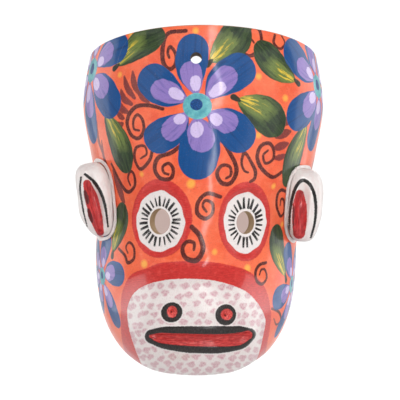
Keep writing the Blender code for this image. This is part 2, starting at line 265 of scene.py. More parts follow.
class Eye:
    """A dished eye at x, z, turned by so many degrees. disc, hole and ring are half sizes."""

    def __init__(self, x, z, turn, disc, hole, ring, ring_at, spokes):
        share = (x - float(lean(z))) / float(rim_half_width(np.array(z)))
        depth = float(through(DEPTHS, z)) * math.sqrt(1 - share * share)
        self.centre = np.array((x, -depth, z))
        turn = math.radians(turn)
        self.out = np.array((math.sin(turn), -math.cos(turn), 0.0))
        self.right = np.array((math.cos(turn), math.sin(turn), 0.0))
        self.disc, self.hole, self.ring, self.ring_at, self.spokes = disc, hole, ring, ring_at, spokes

    def local(self, points):
        """How far to the right, up and out of the eye's middle the points are."""
        away = points - self.centre
        return away @ self.right, away[:, 2], away @ self.out

    def hand_cut(self, across, up):
        """How far out a spot is: 1 at the edge of the white disc, whose outline isn't quite an ellipse."""
        angle = np.arctan2(up, across)
        wobble = 0.016 * np.cos(8 * angle + 0.6) + 0.014 * np.cos(3 * angle + self.spokes)
        wobble += 1 + 0.009 * np.cos(13 * angle)
        return np.hypot(across / self.disc[0], up / self.disc[1]) / wobble


EYES = (
    Eye(-29.2, 111.2, -24, (18.6, 21.4), (7.9, 9.2), (23.2, 27.8), (0.9, 2.2), 26),
    Eye(33.0, 110.4, 26, (16.9, 21.4), (7.1, 8.1), (20.9, 28.0), (-0.6, 0.8), 24),
)
EYE_BEVEL_FROM, EYE_BEVEL = 0.985, 1.19  # inner and outer edge of the bevel around each disc, in disc radii
EYE_DEPTH, EYE_FLATNESS = 2.3, 0.38  # how deep the dish is cut, and how much of the face's own curve it keeps
EYE_DISC_RADIUS = 18.0  # of both eyes, about
HANGING_HOLE_RADIUS, HANGING_HOLE_TILT = 4.1, 13
DRILL_LENGTH = 40

# The lips and the mouth are each the points of a line and its widths.
LIPS = (
    ((-34.2, 29.0), (-24, 28.1), (-8, 27.0), (12, 26.8), (27, 28.0), (35.3, 30.2)),
    (10.4, 16.6, 19.4, 20, 17.6, 9.4),
)
MOUTH = (
    ((-35.4, 29.2), (-27, 28.0), (-8, 26.8), (14, 26.4), (27, 27.2), (34.2, 30.0)),
    (2.0, 7.6, 8.8, 8.8, 9.2, 6.4),
)
NOSTRILS = (
    {
        "ring": (-20.1, 46.5), "size": (7.7, 7.1), "tilt": 0.35,
        "pit": (-19.8, 46.9), "pit_size": (3.6, 4.2), "dot": (-20.6, 46.8),
    },
    {
        "ring": (18.3, 44.7), "size": (7.4, 7.6), "tilt": -0.3,
        "pit": (19.0, 45.0), "pit_size": (4.2, 4.0), "dot": (17.9, 44.2),
    },
)
LIP_RISE, MOUTH_DEPTH, NOSTRIL_DEPTH, DOT_DEPTH = 0.7, 3.6, 2.2, 1.6
MUZZLE_FRONT = -30.0  # lips, mouth and nostrils are carved only in front of this


def seen(points):
    """x, z of points of the muzzle as they appear from in front."""
    height = MIDDLE_HEIGHT + (points[:, 2] - MIDDLE_HEIGHT) * MUZZLE_NEARER
    return np.stack((points[:, 0] * MUZZLE_NEARER, height), -1)


def relieve(points, normals):
    """Moves vertices of the outer surface to carve the eye dishes, nostrils, mouth and knife marks."""
    x, y, z = points.T
    gouge = 0.22 * np.sin(0.105 * x + 1.3) * np.sin(0.083 * z + 0.4)
    gouge += 0.12 * np.sin(0.21 * x + 0.13 * z + 2.0)
    moved = points + normals * (gouge * smooth((-y - 2) / 8))[:, None]
    for eye in EYES:
        across, up, off = eye.local(points)
        near = (np.abs(across) < 34) & (np.abs(up) < 36) & (np.abs(off) < 22)
        share = eye.hand_cut(across, up)
        floor = np.minimum(-EYE_DEPTH + EYE_FLATNESS * off, off - 0.5)
        bevel = smooth((share - EYE_BEVEL_FROM) / (EYE_BEVEL - EYE_BEVEL_FROM))
        target = floor + (off - floor) * bevel
        shift = np.where(near & (share < EYE_BEVEL), target - off, 0.0)
        moved += shift[:, None] * eye.out
    front = seen(points)
    lips, mouth = Layer(front), Layer(front)
    lips.brush(*LIPS, count=60)
    mouth.brush(*MOUTH, count=60)
    raised = LIP_RISE * smooth((1.2 - lips.edge) / 3.0)
    groove = MOUTH_DEPTH * smooth((0.5 - mouth.edge) / 3.4)
    pits = np.zeros(len(points))
    for nostril in NOSTRILS:
        pit = Layer(front)
        pit.oval(nostril["pit"], nostril["pit_size"])
        dot = np.linalg.norm(front - np.array(nostril["dot"]), axis=1)
        pits += NOSTRIL_DEPTH * smooth((0.7 - pit.edge) / 3.2) + DOT_DEPTH * smooth(1.5 - dot)
    moved += normals * np.where(y < MUZZLE_FRONT, raised - groove - pits, 0.0)[:, None]
    return moved


# ---------------------------------------------------------------- meshes


def grid_points(columns, rows, inset=0.0):
    """The carved surface as a grid that stops short of the sawn faces, where their rounded edges begin."""
    a = np.linspace(-1, 1, columns + 1)[None, :]
    b = np.linspace(-1, 1, rows + 1)[:, None]
    points = form(a, b, inset)
    rounding = RIM_ROUND[0][0]
    points[..., 1] -= rounding * (1 - smooth(-points[..., 1] / (5 * rounding)))
    points[..., 2] -= rounding * smooth((b - 0.94) / 0.06)
    return points


def grid_normals(points):
    along_a = np.gradient(points, axis=1)
    along_b = np.gradient(points, axis=0)
    normals = np.cross(along_a, along_b)
    return normals / np.maximum(np.linalg.norm(normals, axis=2), 1e-9)[..., None]


def edge_loop(columns, rows):
    """(row, column) of the grid's border, once around."""
    loop = [(0, c) for c in range(columns)]
    loop += [(r, columns) for r in range(rows)]
    loop += [(rows, c) for c in range(columns, 0, -1)]
    loop += [(r, 0) for r in range(rows, 0, -1)]
    return loop


def rim_position(row, column, columns, rows, sunk, inwards):
    """A point of the sawn edge: inwards from the outer surface, and sunk below the sawn face."""
    a, b = -1 + 2 * column / columns, -1 + 2 * row / rows
    point = form(a, b, inwards)
    if row == rows:
        point[2] -= sunk
    if row == 0 or column in (0, columns):
        point[1] = -sunk
    return point


def shell_mesh():
    """The points, faces and materials of the closed wooden shell: material 0 is painted and 1 is bare."""
    outer = grid_points(COLUMNS, ROWS)
    loop = edge_loop(COLUMNS, ROWS)
    points = [relieve(outer.reshape(-1, 3), grid_normals(outer).reshape(-1, 3))]
    total = len(points[0])
    index = np.arange(total).reshape(ROWS + 1, COLUMNS + 1)
    quads = np.stack((index[:-1, :-1], index[:-1, 1:], index[1:, 1:], index[1:, :-1]), -1).reshape(-1, 4)
    faces = [tuple(face) for face in quads.tolist()]
    kinds = [0] * len(faces)
    previous = [int(index[spot]) for spot in loop]
    for sunk, inwards in RIM_ROUND[1:]:
        ring = np.array([rim_position(*spot, COLUMNS, ROWS, sunk, inwards) for spot in loop])
        points.append(ring)
        current = list(range(total, total + len(loop)))
        total += len(loop)
        for k in range(len(loop)):
            n = (k + 1) % len(loop)
            faces.append((previous[n], previous[k], current[k], current[n]))
            kinds.append(0 if inwards < 1.0 else 1)
        previous = current
    columns, rows = COLUMNS // COARSER, ROWS // COARSER
    inner = grid_points(columns, rows, WALL)
    points.append(inner.reshape(-1, 3))
    index = total + np.arange((rows + 1) * (columns + 1)).reshape(rows + 1, columns + 1)
    quads = np.stack((index[:-1, :-1], index[1:, :-1], index[1:, 1:], index[:-1, 1:]), -1).reshape(-1, 4)
    faces += [tuple(face) for face in quads.tolist()]
    kinds += [1] * len(quads)
    coarse = [int(index[spot]) for spot in edge_loop(columns, rows)]
    for j in range(len(coarse)):
        here, there = coarse[j], coarse[(j + 1) % len(coarse)]
        fine = [previous[(j * COARSER + i) % len(previous)] for i in range(COARSER + 1)]
        half = COARSER // 2
        for i in range(COARSER):
            faces.append((fine[i + 1], fine[i], here if i < half else there))
            kinds.append(1)
        faces.append((fine[half], here, there))
        kinds.append(1)
    return np.vstack(points), faces, kinds


def to_world(points):
    return (np.asarray(points) - ORIGIN) * MM


def new_object(name, points, faces, kinds=None):
    mesh = bpy.data.meshes.new(name)
    mesh.from_pydata(to_world(points).tolist(), [], faces)
    if kinds is not None:
        mesh.polygons.foreach_set("material_index", np.array(kinds, np.int32))
    mesh.update()
    obj = bpy.data.objects.new(name, mesh)
    bpy.context.scene.collection.objects.link(obj)
    return obj


def tunnel(shape, centre, out, radii, sides):
    """Adds one elliptical drill to a bmesh, in world units, with every face of material 1."""
    before = set(shape.faces)
    made = bmesh.ops.create_cone(shape, cap_ends=True, segments=sides, radius1=1, radius2=1, depth=1)
    turn = Vector(out).to_track_quat("Z", "Y").to_matrix().to_4x4()
    place = Matrix.Translation(Vector(to_world(centre))) @ turn
    size = Matrix.Diagonal((radii[0] * MM, radii[1] * MM, DRILL_LENGTH * MM, 1))
    bmesh.ops.transform(shape, matrix=place @ size, verts=made["verts"])
    for face in set(shape.faces) - before:
        face.material_index = 1
        face.smooth = True


def drilled(obj, materials):
    """Bores the eyes and the hanging hole through the shell."""
    shape = bmesh.new()
    for eye in EYES:
        tunnel(shape, eye.centre, eye.out, eye.hole, 64)
    tilt = math.radians(HANGING_HOLE_TILT)
    out = (0.0, -math.cos(tilt), math.sin(tilt))
    tunnel(shape, ORIGIN, out, (HANGING_HOLE_RADIUS, HANGING_HOLE_RADIUS), 40)
    mesh = bpy.data.meshes.new("drills")
    shape.to_mesh(mesh)
    shape.free()
    drills = bpy.data.objects.new("drills", mesh)
    bpy.context.scene.collection.objects.link(drills)
    for made in (obj, drills):
        for material in materials:
            made.data.materials.append(material)
    modifier = obj.modifiers.new("drills", "BOOLEAN")
    modifier.object = drills
    modifier.operation = "DIFFERENCE"
    modifier.solver = "EXACT"
    view = bpy.context.evaluated_depsgraph_get()
    cut = bpy.data.meshes.new_from_object(obj.evaluated_get(view))
    obj.modifiers.clear()
    obj.data = cut
    bpy.data.objects.remove(drills)


def put(obj, **layers):
    """Stores one number per vertex for each named layer."""
    for name, values in layers.items():
        attribute = obj.data.attributes.new(name, "FLOAT", "POINT")
        attribute.data.foreach_set("value", np.asarray(values, np.float32))


def vertex_points(obj):
    """The object's vertices on the bench, in millimetres."""
    flat = np.empty(len(obj.data.vertices) * 3)
    obj.data.vertices.foreach_get("co", flat)
    return flat.reshape(-1, 3) / MM + ORIGIN


# ---------------------------------------------------------------- the painting

# Each flower is (middle, disc radius, placed as seen from in front, petals), and each petal is (direction in
# degrees, length, width, reach of the lilac, reach of the purple). Those at the sides are placed on the skin.
FLOWERS = (
    ((-1.9, 193.0), 9.6, True, (
        (95, 51, 23, 21.5, 31), (42, 50, 25, 24, 35), (-36, 47, 25, 20, 29),
        (-90, 51, 29, 22, 31), (219, 46, 23, 19, 31), (149, 47, 25, 22, 33),
    )),
    ((-101, 219), 9.3, False, (
        (25, 46, 23, 19, 31), (-38, 49, 25, 21, 31), (-90, 52, 24, 23, 33),
        (-146, 40, 23, 18, 28), (150, 40, 23, 19, 28), (88, 42, 22, 20, 30),
    )),
    ((103, 207.5), 9.0, False, (
        (143, 48, 24, 20, 31), (214, 48, 25, 20, 30), (264, 46, 23, 20, 30),
        (-34, 40, 23, 18, 28), (28, 40, 23, 19, 28), (90, 42, 22, 20, 30),
    )),
    ((-97, 72), 6.5, False, (
        (68, 33, 17, 14, 21), (4, 34, 18, 15, 22), (-66, 39, 17, 15, 24),
        (-128, 32, 16, 13, 20), (180, 28, 16, 13, 20), (124, 32, 16, 13, 20),
    )),
    ((106, 66), 6.5, False, (
        (200, 35, 18, 15, 22), (122, 34, 17, 14, 22), (260, 38, 17, 15, 24),
        (60, 30, 16, 13, 20), (0, 28, 16, 13, 20), (-50, 32, 16, 13, 20),
    )),
)

# Each leaf is (stem, tip, width, bow, placed as seen from in front).
LEAVES = (
    ((-58.5, 220.6), (-25.5, 245.9), 20.5, 0.06, True),
    ((7.1, 224.2), (33.5, 253.0), 23, -0.05, True),
    ((67.8, 209.9), (38.9, 236.6), 21, 0.06, True),
    ((26.4, 197.8), (58.6, 174.6), 24, 0.05, True),
    ((75.3, 181.8), (60.0, 135.5), 20, -0.05, True),
    ((-67.1, 188.5), (-50.6, 145.6), 21, 0.05, True),
    ((-61.4, 89.0), (-54.3, 124.5), 17, -0.04, True),
    ((60.0, 72.5), (52.5, 108.5), 18, 0.05, True),
    ((-112, 148), (-108, 112), 17, 0.04, False),
    ((116, 150), (112, 112), 17, -0.04, False),
)

# Widths along a stroke, as shares of its own width.
SWIRL_SHARES, FEATHER_SHARES = (0.95, 1.12, 0.98, 0.78, 0.62), (0.5, 1.35, 1.45, 0.8)
LEAF_SHARES = (0.03, 0.50, 0.84, 1.02, 1.06, 0.98, 0.72)
PETAL_SHARES, PURPLE_SHARES, LILAC_SHARES = (0.16, 0.52, 0.84, 1, 0.97), (0.26, 0.66, 0.98, 1), (0.72, 1, 0.95)

# Each swirl is a width and the points of its line, from the thick end to the thin one.
SWIRLS = (
    (3.0, (
        (-10, 246), (-22.8, 244), (-26.4, 234), (-25.9, 223.5), (-21.8, 219), (-17.6, 222), (-17, 229.2),
        (-21, 235), (-22.8, 231.3), (-21.8, 227),
    )),
    (2.8, (
        (-26.4, 191), (-35.3, 193.2), (-44.3, 192.8), (-49.6, 187.8), (-51.4, 180.6), (-48.6, 172.5),
        (-43.6, 170), (-40, 175), (-40.7, 182.8), (-44.3, 186.7), (-47.1, 182.8), (-46.6, 176.6),
        (-43.1, 175.6),
    )),
    (2.4, (
        (-33.8, 164.6), (-35.5, 155), (-42, 148.2), (-46.1, 155), (-45.3, 163), (-39.6, 164.6), (-37.8, 159),
        (-42, 155.7),
    )),
    (2.9, (
        (-15, 163.8), (-20.7, 159.7), (-29.7, 156.4), (-32.1, 148.2), (-28, 141.7), (-20.7, 141.7),
        (-19.1, 148.2), (-22.3, 152.3), (-26.4, 150), (-25.7, 145.8), (-22.3, 144.6),
    )),
    (3.0, (
        (12.9, 172.8), (20.3, 161.4), (26, 148.2), (21.9, 138.5), (15.4, 138.5), (12.1, 145), (15.4, 150.7),
        (21.1, 150), (21.9, 144.2), (18.6, 141.7),
    )),
    (2.6, (
        (35.7, 139.4), (38.6, 141.4), (39.3, 146.4), (37, 152), (31.8, 160), (29.6, 153), (31.3, 147.4),
        (34.3, 145.7),
    )),
    (2.8, (
        (58.5, 146.6), (51.4, 142.5), (44.1, 148.2), (40.7, 156.4), (43.2, 164.6), (49, 166.4), (52.1, 161.4),
        (51.4, 155), (46.4, 152.3), (44.8, 158), (48.1, 161.4),
    )),
    (2.6, (
        (27.6, 231), (36.7, 228.5), (43.2, 236.8), (42.4, 245.8), (36.7, 248.2), (35, 242.5), (38.3, 237.5),
    )),
    (2.2, ((52.8, 242.5), (52.1, 236.8), (56.4, 232.8), (59.6, 236.8), (57.1, 242.5))),
    (2.9, (
        (14.6, 128.5), (5.5, 131), (-1, 125.3), (-1.9, 117), (3.9, 113), (8.8, 117), (8.8, 123.7), (3.9, 126),
        (2.1, 122), (4.7, 117.8),
    )),
    (3.7, (
        (-5.9, 107.2), (-0.2, 100.7), (2.1, 91), (-2.6, 83.5), (-10, 85), (-12.5, 91.7), (-9.3, 96.6),
        (-4.3, 95.7), (-4.3, 91),
    )),
    (2.6, (
        (-62.1, 151.5), (-57.3, 141), (-53.6, 134.2), (-50, 132), (-46.2, 136.7), (-46.8, 144.2),
        (-49.3, 146.6), (-51, 141.7), (-49.3, 136.7),
    )),
    (2.4, (
        (-57.3, 92), (-53, 87), (-51, 82), (-46.8, 85), (-46.8, 92.5), (-50, 96.4), (-52.3, 93), (-51, 88.8),
    )),
    (2.4, (
        (61.2, 132), (57.4, 133.3), (54.8, 129.5), (54.3, 121.8), (56.8, 115), (59.3, 118), (59.3, 125.7),
        (57.4, 127), (56.8, 122.5),
    )),
    (2.4, (
        (46.8, 82), (42.1, 80.4), (39.3, 75.3), (40.2, 69), (44, 67), (47.1, 71.4), (45.9, 77), (43.3, 77),
        (42.1, 73.5),
    )),
    (2.0, ((50.5, 50), (55.5, 47.5), (56.5, 42), (53.5, 39), (51.8, 43))),
)

# Feather strokes of thin brown: (start, bend, end, width).
FEATHERS = (
    ((-53.6, 213.5), (-51.5, 205.5), (-46.5, 198.5), 3.2), ((-47.5, 217), (-46.5, 208.5), (-41.5, 200), 3.4),
    ((-43, 207), (-41.5, 200), (-36.5, 195.5), 3.0), ((-56, 204), (-54, 198), (-48.5, 194), 3.4),
    ((-57.5, 195.5), (-55.5, 191), (-51.5, 188.5), 3.6), ((-58.5, 188.5), (-56.4, 185.6), (-54, 184), 3.0),
    ((-58, 181), (-56, 179.5), (-54.5, 180.5), 2.6),
    ((65, 183), (61, 182), (56, 180.5), 4.6), ((63.5, 174.5), (59, 173), (54, 171.5), 4.6),
    ((62, 166), (57.5, 164.5), (53, 163), 4.2), ((60.5, 158), (57, 156.5), (53, 156), 3.2),
    ((-72.5, 182), (-71.5, 170), (-68.5, 160), 2.6), ((-69, 168), (-67.5, 157), (-65, 150), 2.4),
    ((-61, 147), (-57.5, 136), (-54, 125), 4.4),
)

# Soft yellow dots: (x, z, radius).
GLOWS = (
    (-6.4, 137.8, 3.4), (10.4, 89.3, 2.3), (-39.6, 81, 3.1), (33.6, 77.8, 3.1), (-41.4, 144.6, 1.9),
    (41.4, 172.1, 2.4), (41.4, 213.8, 2.5), (60.4, 198.2, 2.6), (-3.1, 246, 2.5), (-49, 243, 2.3),
    (-56.7, 214.6, 2.2), (52.1, 136, 2.2), (57.8, 109.2, 2.2),
)

RED_BAND = (
    (-57.0, 45), (-56, 60), (-49.5, 72.6), (-38, 77.5), (-30, 80.9), (-18, 82.3), (-4.5, 82.8), (10.7, 81.8),
    (24, 79), (34, 75.7), (41.5, 70), (47.3, 62.3), (50.2, 51.7), (51.2, 42), (49.0, 25.5), (46, 8),
    (40, -14), (0, -30), (-44, -14), (-52, 8), (-56.5, 26),
)
WHITE_MUZZLE = (
    (-52.3, 45), (-51.2, 52), (-46.6, 60.3), (-38, 65.7), (-28.3, 68.6), (-18, 70), (-4.5, 70.2), (10.9, 68.8),
    (24.2, 65), (33.8, 60.2), (41.8, 51.7), (46.8, 41), (45.9, 32), (42.5, 16.4), (37, 0), (30, -18),
    (0, -34), (-32, -20), (-40.7, 4), (-46.4, 19.4), (-50.6, 32.8),
)
BAND_TOP = 110.0  # no red band above this height

PINK_ROWS = (65.0, 58.6, 52.2, 45.8, 39.4, 33.0, 26.6, 20.2, 14.0, 8.4, 3.8, -0.2)
PINK_STEP, MUZZLE_RADIUS, PINK_MIDDLE = 8.8, 52.0, -2.6
PINK_WIDEST = 1.35  # the angle around the muzzle where the rows end
PINK_TOUCHES = ((-1.4, 0.3), (1.3, 0.7), (0.0, -0.9), (0.1, 1.2))  # of the brush, in each dab


def flower(layers, centre, disc, on_front, petals):
    petal, purple, lilac, teal, blue_dot = (layers[k] for k in ("petal", "purple", "lilac", "teal", "dot"))
    middle = np.array(skin(*centre) if on_front else centre)
    for angle, length, width, lilac_reach, purple_reach in petals:
        way = np.array((math.cos(math.radians(angle)), math.sin(math.radians(angle))))
        bend = np.array((-way[1], way[0])) * 0.04 * length
        root, tip = middle + way * disc, middle + way * (length - width * 0.46)
        half = (root + tip) / 2 + bend
        petal.brush((root, half, tip), [width * share for share in PETAL_SHARES])
        inner = width * 0.62
        side = np.array((-way[1], way[0])) * width * 0.05
        tip = middle + way * (purple_reach - inner * 0.42) + bend * 0.6 + side
        purple.brush((root, tip), [inner * share for share in PURPLE_SHARES])
        inner = width * 0.31
        start = middle + way * (disc + inner * 0.5)
        tip = middle + way * (lilac_reach - inner * 0.45) + bend * 0.4 - side
        lilac.brush((start, tip), [inner * share for share in LILAC_SHARES])
    teal.oval(middle, (disc, disc * 0.97))
    blue_dot.oval(middle + np.array((-0.6, 1.2)) * disc / 10, (disc * 0.43, disc * 0.43))


def leaf(layers, stem, tip, width, bow, on_front):
    start, end = (np.array(skin(*spot) if on_front else spot, float) for spot in (stem, tip))
    way = end - start
    side = np.array((-way[1], way[0])) * bow
    end = end - way / np.linalg.norm(way) * width * 0.36
    path = (start, start + way * 0.5 + side, end)
    layers["leaf"].brush(path, [width * share for share in LEAF_SHARES])
    layers["stem"].brush((start - way * 0.07, start + way * 0.06), (4.4, 3.6, 1.2))


def pink_dabs(front):
    """Rows of small dabs around the muzzle, each of four touches of the brush."""
    pink = Layer(front)
    dice = np.random.default_rng(7)
    for number, z in enumerate(PINK_ROWS):
        for k in range(-7, 8):
            bent = (k + 0.5 * (number % 2)) * PINK_STEP / MUZZLE_RADIUS
            if abs(bent) > PINK_WIDEST:
                continue
            narrow = max(0.35, math.cos(bent))
            x = PINK_MIDDLE + MUZZLE_RADIUS * math.sin(bent) + dice.normal(0, 0.7)
            tall = z + dice.normal(0, 0.7) - 2.2 * bent * bent
            for side, up in PINK_TOUCHES:
                spot = np.array((x + side * narrow, tall + up)) + dice.normal(0, 0.25, 2)
                half = np.array((dice.uniform(0.5, 1.0) * narrow, dice.uniform(-0.6, 0.6)))
                wide = dice.uniform(1.9, 2.9)
                pink.brush((spot - half, spot + half), (wide * 0.8, wide), count=4)
    return pink


def eye_paint(points, red):
    """Adds the rings around the eyes to the red layer, and gives what the discs and spokes are drawn from."""
    across, up, rho, edge, spokes = (np.zeros(len(points)) for _ in range(5))
    edge[:] = Layer.FAR
    for eye in EYES:
        x, z, off = eye.local(points)
        near = (np.abs(x) < 40) & (np.abs(z) < 42) & (np.abs(off) < 26) & (points[:, 1] < -20)
        ring = Layer(np.stack((x, z), -1))
        ring.oval(eye.ring_at, eye.ring)
        red.edge = np.where(near, np.minimum(red.edge, ring.edge), red.edge)
        reach = np.maximum(np.hypot(x, z), 1e-6)
        hole, disc = (1 / np.hypot(x / reach / size[0], z / reach / size[1]) for size in (eye.hole, eye.disc))
        across[near], up[near] = x[near], z[near]
        rho[near] = ((np.hypot(x, z) - hole) / (disc - hole))[near]
        edge[near] = ((eye.hand_cut(x, z) - 1.0) * EYE_DISC_RADIUS)[near]
        spokes[near] = eye.spokes
    return {"eye_across": across, "eye_up": up, "eye_rho": rho, "edge_eye": edge, "eye_spokes": spokes}


def face_paint(obj):
    """Paints every layer of the face and stores them on its vertices."""
    points = vertex_points(obj)
    where, front = skin_coordinates(points), seen(points)
    on_skin = ("petal", "purple", "lilac", "teal", "dot", "leaf", "stem", "swirl", "dab", "glow", "red")
    on_muzzle = ("muzzle", "lips", "mouth", "ring", "pit", "hole", "smudge")
    layers = {name: Layer(where) for name in on_skin} | {name: Layer(front) for name in on_muzzle}
    for details in FLOWERS:
        flower(layers, *details)
    for details in LEAVES:
        leaf(layers, *details)
    for width, line in SWIRLS:
        layers["swirl"].brush([skin(*spot) for spot in line], [width * share for share in SWIRL_SHARES])
    for *line, width in FEATHERS:
        layers["dab"].brush([skin(*spot) for spot in line], [width * share for share in FEATHER_SHARES])
    for x, z, radius in GLOWS:
        layers["glow"].oval(skin(x, z), (radius, radius))

    eyes = eye_paint(points, layers["red"])
    band = Layer(front)
    band.outline(RED_BAND)
    red_edge = layers["red"].edge
    layers["red"].edge = np.where(points[:, 2] < BAND_TOP, np.minimum(red_edge, band.edge), red_edge)
    layers["muzzle"].outline(WHITE_MUZZLE)
    layers["lips"].brush(*LIPS, count=60)
    layers["mouth"].brush(*MOUTH, count=60)
    for nostril in NOSTRILS:
        layers["ring"].oval(nostril["ring"], nostril["size"], nostril["tilt"])
        layers["pit"].oval(nostril["pit"], nostril["pit_size"])
        # The hole layer is painted shade: a dark dot for the depth of each nostril's drilled hole.
        layers["hole"].oval(nostril["dot"], (0.85, 0.85))
    layers["smudge"].oval((-14, 14.5), (10, 3.4))
    layers["pink"] = pink_dabs(front)
    keep_clear = np.minimum(layers["lips"].edge, layers["ring"].edge)
    layers["pink"].edge = np.maximum(layers["pink"].edge, 1.0 - keep_clear)

    put(obj, **{f"edge_{name}": layer.edge for name, layer in layers.items()}, **eyes)
    for name in ("petal", "leaf"):
        made = layers[name]
        put(obj, **{f"{name}_along": made.along, f"{name}_across": made.across, f"{name}_mark": made.mark})
    put(obj, skin_along=where[:, 0], skin_height=where[:, 1])


# ---------------------------------------------------------------- materials


class Paintbox:
    """Short ways to lay out one material's nodes, with the colour and the height of the paint laid so far."""

    def __init__(self, name):
        self.material = bpy.data.materials.new(name)
        self.material.use_nodes = True
        self.tree = self.material.node_tree
        self.shader = self.tree.nodes["Principled BSDF"]
        self.colour = self.height = None

    def node(self, kind, inputs=(), **settings):
        made = self.tree.nodes.new(kind)
        for name, value in settings.items():
            setattr(made, name, value)
        for key, value in dict(inputs).items():
            self.feed(made.inputs[key], value)
        return made

    def feed(self, socket, value):
        if isinstance(value, bpy.types.NodeSocket):
            self.tree.links.new(value, socket)
        elif isinstance(value, (tuple, list)) and len(value) == 3 and socket.type == "RGBA":
            socket.default_value = (*value, 1.0)
        else:
            socket.default_value = value

    def stored(self, name):
        return self.node("ShaderNodeAttribute", attribute_name=name).outputs["Fac"]

    def place(self, upwards=1.0):
        """The place on the object in metres. Where height counts for less, patterns run long upwards."""
        spot = self.node("ShaderNodeTexCoord").outputs["Object"]
        made = self.node("ShaderNodeMapping", {"Vector": spot, "Scale": (1.0, 1.0, upwards)})
        return made.outputs["Vector"]

    def skin_place(self, along=1.0, height=1.0):
        """The place on the painted skin in millimetres, scaled."""
        scaled_along = self.times(self.stored("skin_along"), along)
        return self.vector(scaled_along, self.times(self.stored("skin_height"), height))

    def math(self, operation, a, b=0.0, c=0.0):
        return self.node("ShaderNodeMath", {0: a, 1: b, 2: c}, operation=operation).outputs[0]

    def times(self, a, b):
        return self.math("MULTIPLY", a, b)

    def minus(self, a, b):
        return self.math("SUBTRACT", a, b)

    def scaled(self, a, factor, added):
        return self.math("MULTIPLY_ADD", a, factor, added)

    def vector(self, x, y, z=0.0):
        return self.node("ShaderNodeCombineXYZ", {0: x, 1: y, 2: z}).outputs[0]

    def length(self, vector):
        return self.node("ShaderNodeVectorMath", {0: vector}, operation="LENGTH").outputs["Value"]

    def noise(self, vector, scale, detail, roughness, distortion=0.0):
        inputs = {"Vector": vector, "Scale": scale, "Detail": detail, "Roughness": roughness}
        return self.node("ShaderNodeTexNoise", inputs | {"Distortion": distortion}).outputs["Fac"]

    def chance(self, number):
        """A number from 0 to 1 that is the same wherever number is."""
        made = self.node("ShaderNodeTexWhiteNoise", {"W": number}, noise_dimensions="1D")
        return made.outputs["Value"]

    def hairs(self, kind, stretch, scale, roughness):
        """The traces of single hairs, which run along each brush mark of one kind."""
        parts = [self.stored(f"{kind}_{part}") for part in ("along", "across", "mark")]
        stretched = self.vector(*(self.times(part, factor) for part, factor in zip(parts, stretch)))
        return self.noise(stretched, scale, 4.0, roughness)

    def ramp(self, value, low, high, to_low=0.0, to_high=1.0):
        inputs = {"Value": value, "From Min": low, "From Max": high, "To Min": to_low, "To Max": to_high}
        return self.node("ShaderNodeMapRange", inputs, clamp=True).outputs["Result"]

    def mix(self, share, under, over):
        made = self.node("ShaderNodeMix", data_type="RGBA")
        self.feed(made.inputs[0], share)
        self.feed(made.inputs[6], under)
        self.feed(made.inputs[7], over)
        return made.outputs[2]

    def inside(self, name, wobble, amount, feather):
        """1 inside a painted shape and 0 outside, with the wavering edge that a brush leaves."""
        moved = self.scaled(wobble, amount, -amount / 2)
        return self.ramp(self.minus(moved, self.stored(f"edge_{name}")), -feather / 2, feather / 2)

    def thicken(self, share, thickness):
        self.height = self.scaled(share, thickness, self.height)

    def lay(self, share, paint, thickness=0.0):
        """Lays paint over what is there, wholly where share is 1. It is as thick as thickness says."""
        self.colour = self.mix(share, self.colour, paint)
        if thickness:
            self.thicken(share, thickness)

    def finish(self, roughness, relief=0.25, coat=0.0, coat_roughness=0.08, specular=0.5):
        self.feed(self.shader.inputs["Base Color"], self.colour)
        self.feed(self.shader.inputs["Specular IOR Level"], specular)
        self.feed(self.shader.inputs["Roughness"], roughness)
        self.feed(self.shader.inputs["Coat Weight"], coat)
        self.feed(self.shader.inputs["Coat Roughness"], coat_roughness)
        if self.height is not None:
            for socket, share in (("Normal", 1.0), ("Coat Normal", COAT_RELIEF)):
                bump = self.node("ShaderNodeBump", {"Height": self.height, "Distance": relief * share * MM})
                self.feed(self.shader.inputs[socket], bump.outputs["Normal"])
        return self.material


COAT_RELIEF = 0.35  # of the paint's relief, which the varnish evens out

ORANGE, ORANGE_DEEP, ORANGE_PALE = (0.98, 0.180, 0.075), (0.88, 0.110, 0.045), (0.99, 0.27, 0.14)
RED, RED_DEEP, RED_PALE = (0.74, 0.050, 0.042), (0.54, 0.028, 0.026), (0.84, 0.12, 0.09)
BLUE, BLUE_DEEP = (0.004, 0.074, 0.26), (0.003, 0.042, 0.16)
BLUE_PALE, BLUE_DOT = (0.024, 0.14, 0.37), (0.010, 0.10, 0.36)
PURPLE, PURPLE_DEEP, LILAC = (0.29, 0.20, 0.53), (0.17, 0.13, 0.42), (0.68, 0.56, 0.84)
TEAL, TEAL_DEEP = (0.17, 0.53, 0.55), (0.08, 0.34, 0.42)
LEAF_DARK, LEAF_GREEN, LEAF_OLIVE = (0.020, 0.036, 0.020), (0.050, 0.088, 0.030), (0.17, 0.23, 0.055)
LEAF_YELLOW, LEAF_STEM = (0.78, 0.55, 0.06), (0.03, 0.03, 0.02)
BROWN, BROWN_PALE, MAUVE = (0.075, 0.012, 0.011), (0.165, 0.030, 0.024), (0.20, 0.036, 0.045)
YELLOW, PINK, SMUDGE = (1.0, 0.47, 0.08), (0.60, 0.27, 0.33), (0.50, 0.36, 0.24)
WHITE, WHITE_WARM, WHITE_GREY = (0.85, 0.79, 0.77), (0.82, 0.71, 0.69), (0.68, 0.60, 0.60)
BLACK, BLACK_WORN, NOSTRIL_HOLE_SHADE = (0.012, 0.009, 0.009), (0.055, 0.045, 0.042), (0.01, 0.008, 0.008)
MOUTH_RED, MOUTH_DEEP, MOUTH_PALE = (0.70, 0.055, 0.05), (0.40, 0.012, 0.014), (0.78, 0.26, 0.18)
PIT_RED, PIT_DEEP = (0.82, 0.12, 0.10), (0.56, 0.03, 0.035)
